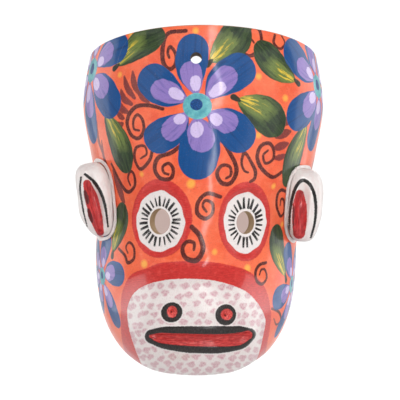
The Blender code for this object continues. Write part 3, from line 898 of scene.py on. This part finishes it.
EAR_RED, EAR_RED_DEEP, EAR_GROOVE_SHADE = (0.60, 0.04, 0.04), (0.30, 0.014, 0.018), (0.12, 0.010, 0.012)
CHIP, SOIL, FILLER_STAIN = (0.66, 0.52, 0.44), (0.12, 0.05, 0.035), (0.72, 0.40, 0.33)
WOOD, WOOD_RING = (0.50, 0.36, 0.21), (0.36, 0.22, 0.11)
WOOD_FIBRE, WOOD_PALE = (0.23, 0.13, 0.06), (0.58, 0.46, 0.31)
HOLE_PAINTED_SHADE, STUDIO, STUDIO_SHADE = (0.050, 0.025, 0.015), (0.8, 0.8, 0.8), (0.385, 0.285, 0.257)


def spokes(box):
    """Short strokes around each eye hole. Each has its own place, slant, width and length."""
    count, rho, across, up = (box.stored(f"eye_{name}") for name in ("spokes", "rho", "across", "up"))
    turn = box.times(box.scaled(box.math("ARCTAN2", up, across), 1 / (2 * math.pi), 0.5), count)
    cell = box.scaled(count, 7.0, box.math("FLOOR", turn))
    dice = [box.chance(box.math("ADD", cell, 0.37 + k * 41.3)) for k in range(4)]
    place = box.minus(box.math("FRACT", turn), box.scaled(dice[0], 0.34, 0.33))
    slant = box.times(box.minus(rho, 0.45), box.scaled(dice[3], 0.7, -0.35))
    round_length = box.times(box.length(box.vector(across, up)), 2 * math.pi)
    pitch = box.math("DIVIDE", round_length, box.math("MAXIMUM", count, 1.0))
    off = box.times(box.math("ABSOLUTE", box.minus(place, slant)), pitch)
    half_width = box.times(box.ramp(rho, 0.10, 0.70, 0.98, 0.66), box.scaled(dice[2], 0.7, 0.68))
    stroke = box.ramp(box.minus(half_width, off), -0.10, 0.16)
    starts = box.ramp(box.minus(rho, box.scaled(dice[1], 0.08, 0.09)), -0.02, 0.03)
    stops = box.ramp(box.minus(box.scaled(dice[2], 0.14, 0.64), rho), -0.02, 0.04)
    return box.times(box.times(stroke, starts), stops)


def painted_face():
    box = Paintbox("painted_wood")
    spot = box.skin_place()
    fine, middling = box.noise(spot, 0.9, 3.0, 0.6), box.noise(spot, 0.23, 3.0, 0.55)
    broad, wander = box.noise(spot, 0.045, 2.0, 0.5), box.noise(spot, 0.55, 2.0, 0.5)
    sideways = box.noise(box.skin_place(0.22, 1.6), 1.0, 3.0, 0.6)

    # The orange ground and the yellow dots on it.
    ground = box.mix(box.ramp(broad, 0.38, 0.66), ORANGE, ORANGE_DEEP)
    ground = box.mix(box.ramp(middling, 0.50, 0.80, 0.0, 0.55), ground, ORANGE_PALE)
    box.colour = box.mix(box.ramp(sideways, 0.45, 0.75, 0.0, 0.35), ground, ORANGE_DEEP)
    box.height = box.times(sideways, 0.35)
    box.lay(box.times(box.ramp(box.stored("edge_glow"), 0.7, -1.5), 0.92), YELLOW)

    # The red band and eye rings, and the brown strokes and swirls.
    red_paint = box.mix(box.ramp(sideways, 0.35, 0.70), RED_DEEP, RED)
    red_paint = box.mix(box.ramp(middling, 0.55, 0.85, 0.0, 0.7), red_paint, RED_PALE)
    box.lay(box.inside("red", wander, 1.2, 0.7), red_paint, 0.25)
    feather = box.times(box.inside("dab", fine, 1.0, 0.5), box.ramp(fine, 0.25, 0.5, 0.6, 0.95))
    box.lay(feather, box.mix(broad, BROWN_PALE, MAUVE), 0.2)
    swirl = box.times(box.inside("swirl", fine, 0.7, 0.35), box.ramp(fine, 0.20, 0.5, 0.62, 1.0))
    box.lay(swirl, box.mix(box.ramp(middling, 0.42, 0.72), BROWN, BROWN_PALE), 0.4)

    # The leaves: dark green, lit with olive and yellow from the stem.
    hairs = box.hairs("leaf", (1.6, 2.6, 3.7), 1.9, 0.65)
    leaf = box.inside("leaf", fine, 0.8, 0.35)
    from_stem = box.ramp(box.stored("leaf_along"), 0.18, 0.80, 1.0, 0.0)
    off_middle = box.math("ABSOLUTE", box.minus(box.stored("leaf_across"), 0.18))
    lit = box.times(from_stem, box.ramp(off_middle, 0.28, 0.86, 1.0, 0.0))
    olive, yellow = box.times(lit, box.ramp(hairs, 0.22, 0.50)), box.times(lit, box.ramp(hairs, 0.40, 0.60))
    leaf_paint = box.mix(box.ramp(hairs, 0.40, 0.62), LEAF_DARK, LEAF_GREEN)
    leaf_paint = box.mix(box.ramp(olive, 0.05, 0.34, 0.0, 0.9), leaf_paint, LEAF_OLIVE)
    leaf_paint = box.mix(box.ramp(yellow, 0.36, 0.70), leaf_paint, LEAF_YELLOW)
    box.lay(leaf, leaf_paint, 0.35)
    box.thicken(box.times(hairs, leaf), 0.8)
    box.lay(box.inside("stem", fine, 0.5, 0.4), LEAF_STEM, 0.2)

    # The flowers.
    strands = box.hairs("petal", (1.1, 3.0, 5.1), 1.7, 0.6)
    petal_paint = box.mix(box.ramp(strands, 0.25, 0.50), BLUE_DEEP, BLUE)
    petal_paint = box.mix(box.ramp(strands, 0.60, 0.80, 0.0, 0.5), petal_paint, BLUE_PALE)
    box.lay(box.inside("petal", fine, 0.7, 0.35), petal_paint, 0.4)
    purple = box.times(box.inside("purple", strands, 2.2, 0.5), box.ramp(strands, 0.2, 0.42, 0.7, 1.0))
    box.lay(purple, box.mix(box.ramp(strands, 0.26, 0.52), PURPLE_DEEP, PURPLE), 0.35)
    lilac = box.times(box.inside("lilac", strands, 1.8, 0.5), box.ramp(strands, 0.25, 0.5, 0.7, 1.0))
    box.lay(lilac, LILAC, 0.4)
    box.lay(box.inside("teal", fine, 0.7, 0.4), box.mix(box.ramp(middling, 0.35, 0.65), TEAL_DEEP, TEAL), 0.5)
    box.lay(box.inside("dot", fine, 0.6, 0.4), box.mix(box.ramp(fine, 0.4, 0.7), BLUE_DEEP, BLUE_DOT), 0.3)

    # The muzzle: white over red, with dabs of pink, black lips and nostrils and a red mouth.
    white = box.inside("muzzle", wander, 1.0, 0.45)
    streaks = box.noise(box.skin_place(0.9, 0.45), 1.2, 4.0, 0.65)
    white_paint = box.mix(box.ramp(streaks, 0.35, 0.62), WHITE_WARM, WHITE)
    white_paint = box.mix(box.ramp(middling, 0.58, 0.80, 0.0, 0.45), white_paint, WHITE_GREY)
    box.lay(white, white_paint, 0.35)
    box.thicken(box.times(streaks, white), 0.7)
    pink = box.times(box.inside("pink", fine, 1.6, 0.9), box.ramp(streaks, 0.34, 0.60, 0.15, 0.9))
    box.lay(box.times(pink, white), PINK)
    smudge = box.times(box.ramp(box.stored("edge_smudge"), 1.5, -2.5), box.ramp(fine, 0.45, 0.65, 0.0, 0.5))
    box.lay(smudge, SMUDGE)
    black = box.math("MAXIMUM", box.inside("lips", fine, 1.3, 0.4), box.inside("ring", fine, 1.1, 0.4))
    box.lay(black, box.mix(box.ramp(streaks, 0.45, 0.75), BLACK, BLACK_WORN), 0.3)
    lick = box.noise(box.skin_place(0.16, 1.2), 1.0, 4.0, 0.65)
    mouth_paint = box.mix(box.ramp(lick, 0.38, 0.60), MOUTH_DEEP, MOUTH_RED)
    mouth_paint = box.mix(box.ramp(lick, 0.60, 0.72, 0.0, 0.55), mouth_paint, MOUTH_PALE)
    box.lay(box.inside("mouth", fine, 0.8, 0.4), mouth_paint, 0.2)
    box.lay(box.inside("pit", fine, 0.7, 0.5), box.mix(box.ramp(fine, 0.35, 0.6), PIT_DEEP, PIT_RED), 0.1)
    # Painted shade: a black dot for the dark inside of the drilled hole in each nostril pit.
    box.lay(box.inside("hole", fine, 0.2, 0.5), NOSTRIL_HOLE_SHADE)

    # The eyes: a white disc with short black spokes.
    eye = box.inside("eye", fine, 0.5, 0.4)
    box.lay(eye, box.mix(box.ramp(middling, 0.5, 0.8, 0.0, 0.6), WHITE, WHITE_WARM), 0.3)
    box.lay(box.times(spokes(box), eye), BLACK, 0.3)

    # Wear: small chips where the pale ground shows, dark specks, and grain in the varnish.
    specks = box.noise(spot, 0.62, 2.0, 0.7)
    worn = box.times(box.ramp(specks, 0.735, 0.765), box.ramp(broad, 0.42, 0.60))
    box.lay(box.times(worn, 0.75), CHIP, -0.5)
    soiled = box.times(box.ramp(specks, 0.262, 0.235), box.ramp(broad, 0.56, 0.44))
    box.lay(box.times(soiled, 0.7), SOIL)
    box.lay(box.ramp(fine, 0.46, 0.26, 0.0, 0.26), SOIL)
    box.lay(box.ramp(fine, 0.58, 0.80, 0.0, 0.10), CHIP)
    box.thicken(fine, 0.25)
    return box.finish(box.ramp(middling, 0.3, 0.7, 0.34, 0.46), 0.22, coat=0.45, specular=0.2)


def bare_wood():
    """Light wood with rings, fibres and gouge marks, and painted shade that darkens it around the hanging hole.
    """
    box = Paintbox("bare_wood")
    rings = box.noise(box.place(0.09), 190.0, 4.0, 0.6, 0.6)
    fibres = box.noise(box.place(0.05), 1400.0, 3.0, 0.6)
    patches = box.noise(box.place(), 22.0, 3.0, 0.5)
    chisel = box.node("ShaderNodeTexVoronoi", {"Vector": box.place(0.5), "Scale": 95.0}, feature="SMOOTH_F1")
    box.colour = box.mix(box.ramp(rings, 0.36, 0.66), WOOD, WOOD_RING)
    box.height = box.scaled(chisel.outputs["Distance"], 2.2, box.times(fibres, 0.35))
    box.lay(box.ramp(fibres, 0.45, 0.75, 0.0, 0.5), WOOD_FIBRE)
    box.lay(box.ramp(patches, 0.45, 0.72, 0.0, 0.5), WOOD_PALE)
    # Painted shade: the wood darkens within a few millimetres of the hanging hole, where its bored wall lies in
    # shade.
    box.lay(box.ramp(box.length(box.place()), 0.014, 0.009, 0.0, 0.85), HOLE_PAINTED_SHADE)
    return box.finish(box.ramp(fibres, 0.3, 0.7, 0.62, 0.8), 0.35)


def ear_paint():
    box = Paintbox("painted_ear_wood")
    fine, middling = box.noise(box.place(), 900.0, 3.0, 0.6), box.noise(box.place(), 210.0, 3.0, 0.5)
    brushed = box.noise(box.place(0.35), 520.0, 4.0, 0.65)
    box.colour = box.mix(box.ramp(brushed, 0.34, 0.60), WHITE_WARM, WHITE)
    box.height = box.times(brushed, 0.8)
    box.lay(box.ramp(middling, 0.56, 0.78, 0.0, 0.4), WHITE_GREY)
    box.lay(box.inside("red", fine, 1.0, 0.4), box.mix(box.ramp(brushed, 0.36, 0.62), EAR_RED_DEEP, EAR_RED))
    # Painted shade: dark strokes along the left wall of the ear's hollow.
    box.lay(box.inside("dark", fine, 0.9, 0.5), EAR_GROOVE_SHADE)
    box.lay(box.inside("black", fine, 0.7, 0.35), box.mix(box.ramp(brushed, 0.5, 0.8), BLACK, BLACK_WORN))
    box.thicken(fine, 0.25)
    return box.finish(0.4, 0.3, coat=0.4, coat_roughness=0.10, specular=0.25)


def filler_paint():
    box = Paintbox("white_filler")
    lumps, fine = box.noise(box.place(), 330.0, 3.0, 0.6), box.noise(box.place(), 1100.0, 3.0, 0.6)
    box.colour = box.mix(box.ramp(lumps, 0.36, 0.62), WHITE_WARM, WHITE)
    box.height = box.times(lumps, 1.2)
    box.lay(box.ramp(fine, 0.60, 0.78, 0.0, 0.5), FILLER_STAIN)
    box.thicken(fine, 0.3)
    return box.finish(0.45, 0.5, coat=0.4, coat_roughness=0.14)


# ---------------------------------------------------------------- the ears

EAR_SQUARENESS = 0.62  # 1 for an ellipsoid, less for a block
EAR_RINGS, EAR_SIDES = 110, 150

# hollow is the (x, height, slope) of its middle line, from the ear's middle, and hollow_size is its (half width,
# half height, depth). The painted marks are as seen from in front: each is the points of a line and its widths.
# The dark marks are painted shade along the left wall of each ear's hollow.
EARS = {
    "left": {
        "centre": (-74.5, -33.0, 126.6), "half_size": (12.6, 18.3, 26.6), "tilt": -9,
        "hollow": (0.5, -2.0, -0.10), "hollow_size": (4.6, 22.0, 4.2),
        "black": (
            (
                ((-81.3, 144.5), (-75.7, 139.8), (-71.2, 133.5), (-68.4, 126.7), (-66.4, 118), (-65.2, 107.6)),
                (2.0, 2.6, 2.4, 2.0, 1.4),
            ),
            (
                ((-84.2, 142.4), (-85.0, 134), (-83.8, 125.3), (-82.2, 116.7), (-80.0, 107.6)),
                (1.4, 1.7, 1.4, 1.0),
            ),
        ),
        "red": ((((-80.0, 138.0), (-76.7, 127), (-73.6, 114), (-70.8, 103.5)), (5.5, 9.6, 9.2, 5.5)),),
        "dark": (
            (((-81.5, 132.5), (-79.2, 124)), (2.0, 3.4, 2.2)),
            (((-79.0, 119.5), (-76.4, 111)), (2.0, 3.2, 2.0)),
        ),
    },
    "right": {
        "centre": (74.6, -33.0, 122.6), "half_size": (12.8, 18.3, 26.0), "tilt": 1,
        "hollow": (-2.4, -2.5, 0.05), "hollow_size": (5.4, 20.5, 4.6),
        "black": (
            (
                (
                    (63.2, 103.7), (63.6, 116.7), (65.2, 127.5), (68, 135.6), (71.6, 139.8), (74.8, 139.8),
                    (78.3, 136.4), (81.0, 129.7), (82.0, 121), (81.2, 110.2), (78.6, 99.8),
                ),
                (1.6, 2.2, 2.4, 2.6, 2.6, 2.4, 2.2, 1.6),
            ),
        ),
        "red": ((((70.6, 130.5), (70.6, 122), (70.4, 112), (70.2, 103)), (6.0, 10.2, 10.6, 8.6)),),
        "dark": ((((66.4, 124), (66.0, 108)), (0.8, 1.6, 1.0)),),
    },
}


def ear_mesh(name, centre, half_size, tilt, hollow, hollow_size):
    """A carved ear: a rounded block, narrower below, with a long hollow in its front face."""
    up = np.linspace(-np.pi / 2, np.pi / 2, EAR_RINGS + 1)[:, None]
    around = np.linspace(0, 2 * np.pi, EAR_SIDES, endpoint=False)[None, :]
    ball = (np.cos(up) * np.cos(around), np.cos(up) * np.sin(around), np.sin(up) * np.ones_like(around))
    ball = np.stack(ball, -1)
    block = np.sign(ball) * np.abs(ball) ** EAR_SQUARENESS * np.array(half_size)
    x, y, z = (block[..., k] for k in range(3))
    inward = -math.copysign(1, centre[0])
    low = smooth((-z / half_size[2] - 0.15) / 0.85)
    x = x * (1 - 0.16 * low) + inward * 1.6 * low
    y = y + 0.5 * np.sin(0.22 * z + 1.0) + 0.25 * np.sin(0.4 * x + 0.3 * z)
    x = x + 0.5 * np.sin(0.16 * z + 0.5 * centre[0])
    middle_line = hollow[0] + (z - hollow[1]) * hollow[2]
    share = np.hypot((x - middle_line) / hollow_size[0], (z - hollow[1]) / hollow_size[1])
    front = smooth((-y - half_size[1] * 0.45) / (half_size[1] * 0.3))
    y = y + hollow_size[2] * smooth((1.12 - share) / 0.75) * front
    sine, cosine = math.sin(math.radians(tilt)), math.cos(math.radians(tilt))
    turn = np.array(((cosine, 0, sine), (0, 1, 0), (-sine, 0, cosine)))
    points = np.stack((x, y, z), -1).reshape(-1, 3) @ turn.T + np.array(centre)
    index = np.arange((EAR_RINGS + 1) * EAR_SIDES).reshape(EAR_RINGS + 1, EAR_SIDES)
    right = np.roll(index, -1, axis=1)
    quads = np.stack((index[:-1], right[:-1], right[1:], index[1:]), -1).reshape(-1, 4)
    obj = new_object(name, points, [tuple(q) for q in quads.tolist()])
    shape = bmesh.new()
    shape.from_mesh(obj.data)
    bmesh.ops.remove_doubles(shape, verts=shape.verts, dist=1e-7)
    bmesh.ops.recalc_face_normals(shape, faces=shape.faces)
    shape.to_mesh(obj.data)
    shape.free()
    return obj


def paint_ear(obj, behind, lines):
    """Stores the ear's painted lines on its vertices. What is further back than behind stays white."""
    points = vertex_points(obj)
    for name, marks in lines.items():
        layer = Layer(points[:, (0, 2)])
        for line, widths in marks:
            layer.brush(line, widths)
        layer.edge[points[:, 1] > behind] = Layer.FAR
        put(obj, **{f"edge_{name}": layer.edge})


def shade(obj, degrees):
    """Shades the object smooth, but for edges sharper than so many degrees."""
    for polygon in obj.data.polygons:
        polygon.use_smooth = True
    obj.data.set_sharp_from_angle(angle=math.radians(degrees))


# ---------------------------------------------------------------- the pieces

face_material, wood, ear_material, filler = painted_face(), bare_wood(), ear_paint(), filler_paint()

shell = new_object("face_shell_visual", *shell_mesh())
drilled(shell, (face_material, wood))
face_paint(shell)
shade(shell, 38)
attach(shell, "root")
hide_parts("face_shell")

for side, made in EARS.items():
    centre, half_size = made["centre"], made["half_size"]
    ear = ear_mesh(f"{side}_ear_visual", centre, half_size, made["tilt"], made["hollow"], made["hollow_size"])
    paint_ear(ear, centre[1] - half_size[1] * 0.35, {name: made[name] for name in ("black", "red", "dark")})
    ear.data.materials.append(ear_material)
    shade(ear, 60)
    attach(ear, "root")
    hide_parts(f"{side}_ear")

for name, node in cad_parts.items():
    for ending, material in (("_peg", wood), ("_filler", filler)):
        if name.endswith(ending):
            node.data.materials.clear()
            node.data.materials.append(material)

# ---------------------------------------------------------------- room, light and camera

FLOOR_AT, WALL_AT, WALL_TOP, COVE_RADIUS, HALF_FLOOR = -330.0, 4300.0, 4800.0, 900.0, 20000.0
PATCH_AT = (4, 0, 90)
PATCH_EDGE = (0.165, 0.112)  # metres from the patch's centre where the shade begins, and where it is full
CAMERA_DISTANCE, LOOKED_AT = 3000.0, (0.0, -35.0, 126.3)
FRAME_WIDTH = 284.5  # across the picture at the mask


def studio_white():
    """White paint, with a shaded patch on the wall that the mask covers: it shows only through the holes."""
    box = Paintbox("studio_white")
    centre = Vector(to_world(PATCH_AT))
    flat = box.node("ShaderNodeVectorMath", {0: box.place(), 1: (1, 0, 1)}, operation="MULTIPLY")
    inputs = {0: flat.outputs["Vector"], 1: (centre.x, 0, centre.z)}
    away = box.node("ShaderNodeVectorMath", inputs, operation="DISTANCE").outputs["Value"]
    box.colour = box.mix(box.ramp(away, *PATCH_EDGE), STUDIO, STUDIO_SHADE)
    return box.finish(0.8)


def backdrop():
    """A pale floor that curves up into a pale wall behind the mask."""
    y, z = WALL_AT - COVE_RADIUS, FLOOR_AT + COVE_RADIUS
    turns = np.linspace(0.15, math.pi / 2, 12)
    cove = [(y + COVE_RADIUS * math.sin(turn), z - COVE_RADIUS * math.cos(turn)) for turn in turns]
    profile = [(-HALF_FLOOR, FLOOR_AT), (y, FLOOR_AT), *cove, (WALL_AT, WALL_TOP)]
    points = [(side * HALF_FLOOR, y, z) for y, z in profile for side in (-1, 1)]
    faces = [(2 * k, 2 * k + 1, 2 * k + 3, 2 * k + 2) for k in range(len(profile) - 1)]
    obj = new_object("studio_floor", np.array(points), faces)
    obj.data.shade_smooth()
    obj.data.materials.append(studio_white())
    return obj


def panel(name, centre, size, power, aim=(0, -50, 120)):
    """A soft light: an even panel that faces a point of the mask."""
    light = bpy.data.lights.new(name, "AREA")
    light.shape = "RECTANGLE"
    light.size, light.size_y = size[0] * MM, size[1] * MM
    light.energy = power
    obj = bpy.data.objects.new(name, light)
    bpy.context.scene.collection.objects.link(obj)
    place, target = Vector(to_world(centre)), Vector(to_world(aim))
    obj.location = place
    obj.rotation_euler = (target - place).to_track_quat("-Z", "Y").to_euler()
    obj.visible_camera = False


backdrop()

panel("strip_light", (156, -930, 290), (38, 1230), 3.6, aim=(0, -60, 290))
panel("strip_above", (150, -700, 1150), (50, 900), 3.2, aim=(0, -60, 100))
panel("left_bank", (-1500, -1150, 500), (1100, 1500), 5.4)
panel("right_bank", (1500, -1150, 500), (1100, 1500), 6.2)
panel("top_bank", (0, -1500, 1700), (2600, 1300), 8.8)
panel("left_rim", (-1300, 500, 350), (1000, 1300), 8.5)
panel("right_rim", (1300, 500, 350), (1000, 1300), 9)
panel("back_bank", (500, 1500, 1100), (1400, 900), 3, aim=(0, 0, 120))
panel("wall_light", (0, 2700, 2300), (5200, 600), 112, aim=(0, WALL_AT, 100))

world = bpy.data.worlds.new("studio")
world.use_nodes = True
world.node_tree.nodes["Background"].inputs["Color"].default_value = (1, 1, 1, 1)
world.node_tree.nodes["Background"].inputs["Strength"].default_value = 0.13
bpy.context.scene.world = world
bpy.context.scene.view_settings.view_transform = "Standard"

camera_data = bpy.data.cameras.new("camera")
camera_data.sensor_width = 36.0
camera_data.lens = camera_data.sensor_width * CAMERA_DISTANCE / FRAME_WIDTH
camera = bpy.data.objects.new("camera", camera_data)
camera.location = Vector(to_world((LOOKED_AT[0], LOOKED_AT[1] - CAMERA_DISTANCE, LOOKED_AT[2])))
camera.rotation_euler = (math.pi / 2, 0, 0)
bpy.context.scene.collection.objects.link(camera)
bpy.context.scene.camera = camera
